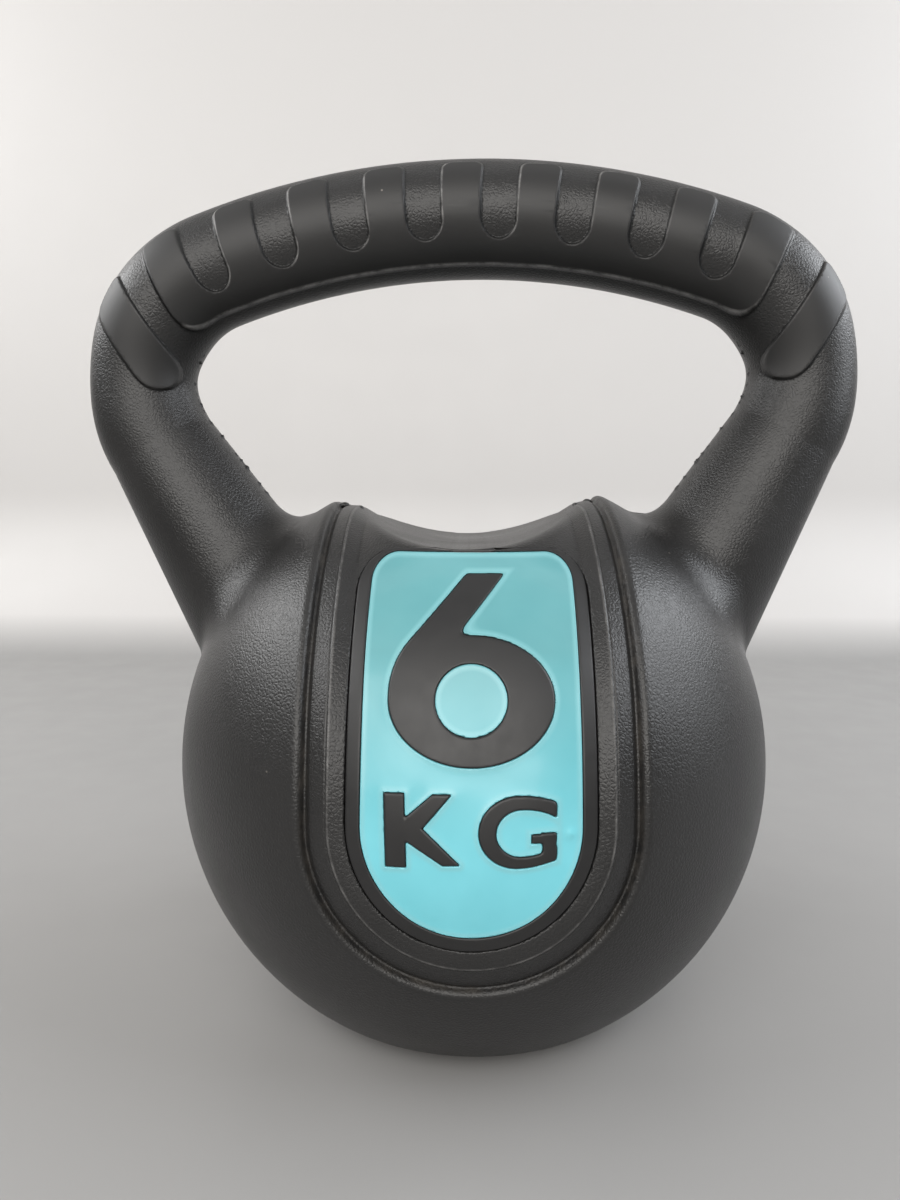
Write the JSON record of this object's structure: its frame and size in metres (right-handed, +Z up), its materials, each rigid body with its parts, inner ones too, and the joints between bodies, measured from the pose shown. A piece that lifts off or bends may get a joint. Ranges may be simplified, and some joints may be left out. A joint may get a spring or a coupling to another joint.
{
  "type": "kettlebell",
  "caption": "Cement-filled kettlebell: round grained black plastic ball with a flat base, a wide hollow loop handle with a ribbed grip and a recessed weight badge on each face.",
  "frame": {"origin": "middle of the flat base, on the surface it stands on", "axes": "+X across the handle to the right of someone facing the front badge, front badge towards -Y, +Z up through the handle"},
  "size_m": [0.228, 0.1686, 0.2466],
  "materials": {
    "shell": "black polyethylene, leather grain with smooth grip bars",
    "core": "cast cement and sand",
    "filler_plug": "black polyethylene, plain",
    "badge": "smooth satin black soft plastic",
    "badge_infill": "poured turquoise soft plastic, low gloss"
  },
  "bodies": {
    "root": {"shell": "shell", "core": "core", "filler_plug": "filler_plug", "front_badge": "badge", "front_badge_infill": "badge_infill", "back_badge": "badge", "back_badge_infill": "badge_infill"}
  },
  "joints": []
}
